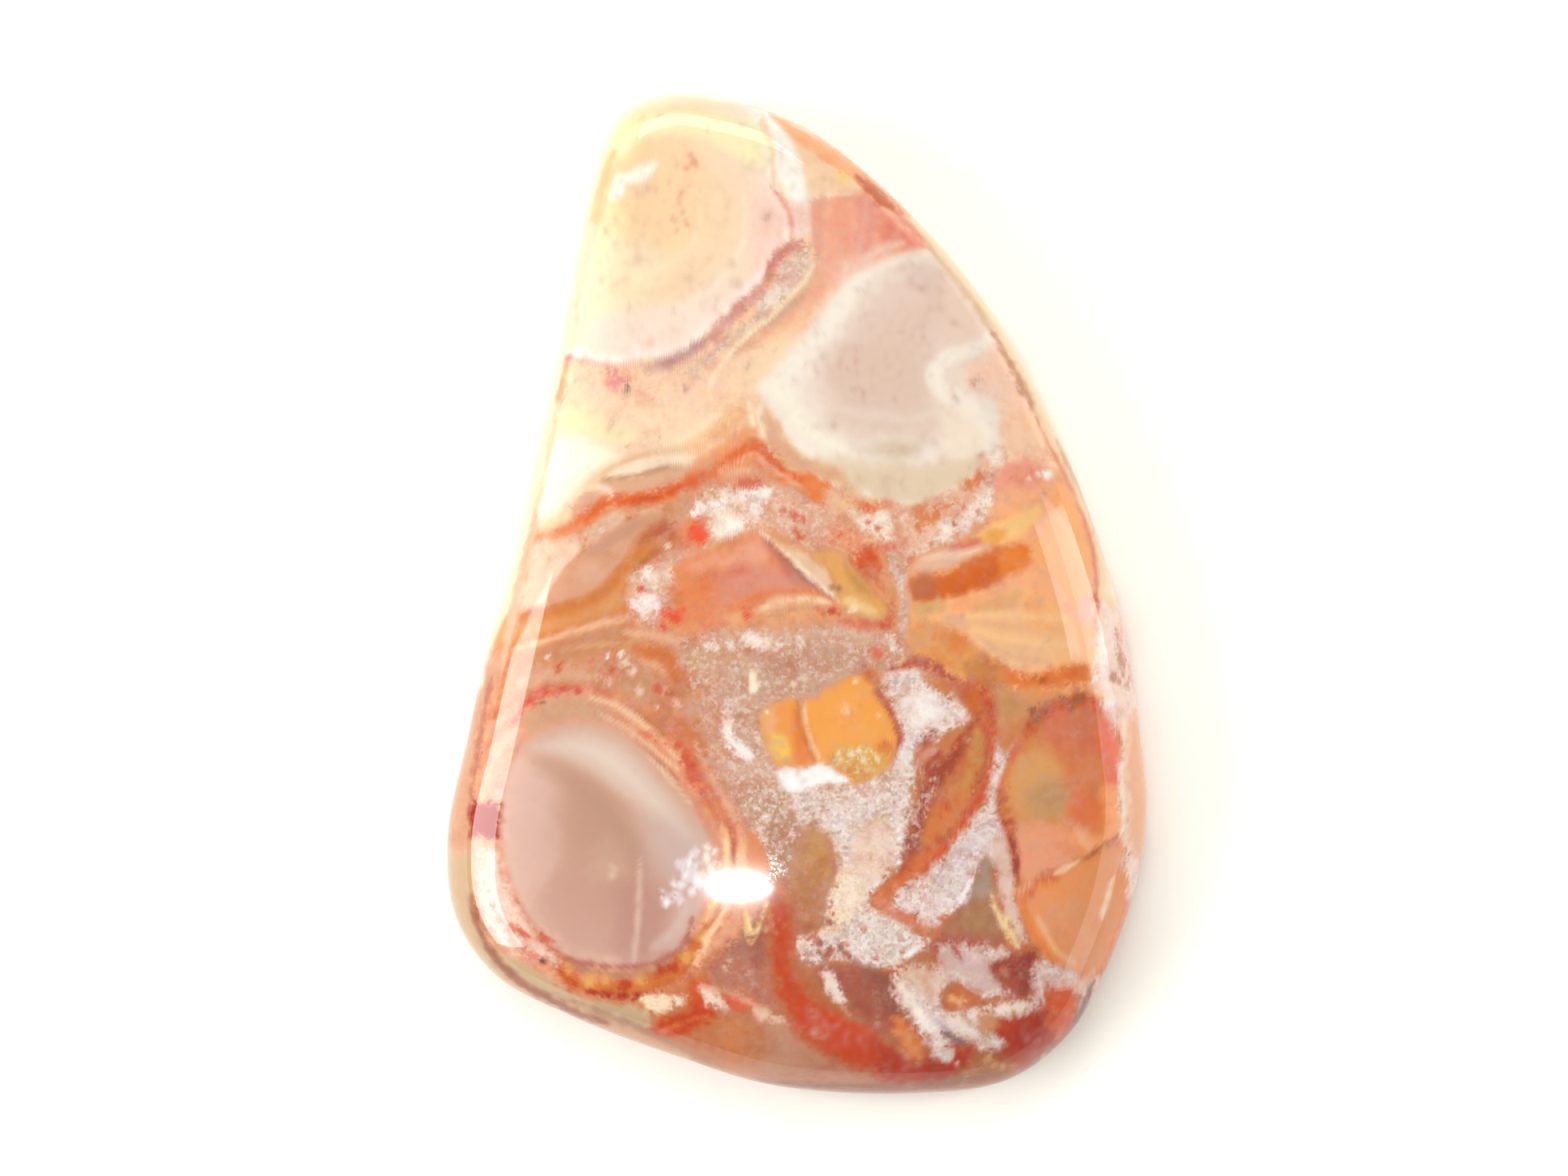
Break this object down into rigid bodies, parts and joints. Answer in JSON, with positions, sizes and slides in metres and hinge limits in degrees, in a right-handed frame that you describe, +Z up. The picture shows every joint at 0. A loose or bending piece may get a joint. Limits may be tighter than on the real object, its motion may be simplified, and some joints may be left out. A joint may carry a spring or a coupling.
{
  "type": "crazy lace agate cabochon",
  "caption": "Freeform polished agate cabochon with a low domed face, a rounded shoulder, a short upright girdle and a flat back.",
  "frame": {"origin": "on the plane of the flat back, under the middle of the outline's bounding box", "axes": "+Z up out of the domed face, +Y along the stone's length towards its narrow tip, +X towards its full curved side"},
  "size_m": [0.035, 0.05, 0.0057],
  "materials": {
    "polished_agate": "polished"
  },
  "bodies": {
    "root": {"agate_cabochon": "polished_agate"}
  },
  "joints": []
}
